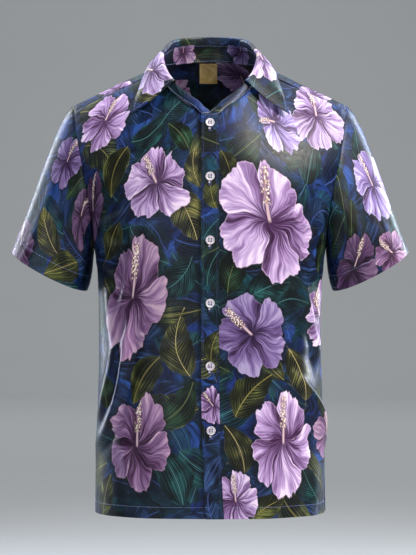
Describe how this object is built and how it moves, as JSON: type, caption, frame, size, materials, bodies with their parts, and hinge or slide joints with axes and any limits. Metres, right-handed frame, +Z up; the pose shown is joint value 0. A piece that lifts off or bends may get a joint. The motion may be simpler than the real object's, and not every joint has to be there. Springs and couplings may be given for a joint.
{
  "type": "hawaiian shirt",
  "caption": "Short-sleeved floral button-front shirt, filled out and hollow, with a pointed collar on a stand, a full placket, a back yoke and a straight hem.",
  "frame": {"origin": "between the shoulders at the neck, level with the sides of the neckline, where the wearer holds the shirt up", "axes": "+Z up, +X to the wearer's left, and the wearer faces -Y"},
  "size_m": [0.6456, 0.2748, 0.7809],
  "materials": {
    "printed_cloth": "satin",
    "button_pearl": "pearl",
    "label_satin": "satin"
  },
  "bodies": {
    "root": {"front_left": "printed_cloth", "front_right": "printed_cloth", "back": "printed_cloth", "yoke": "printed_cloth", "sleeve_left": "printed_cloth", "sleeve_right": "printed_cloth", "placket": "printed_cloth", "collar_stand": "printed_cloth", "collar_leaf": "printed_cloth", "label": "label_satin", "button_1": "button_pearl", "button_2": "button_pearl", "button_3": "button_pearl", "button_4": "button_pearl", "button_5": "button_pearl", "button_6": "button_pearl"}
  },
  "joints": []
}
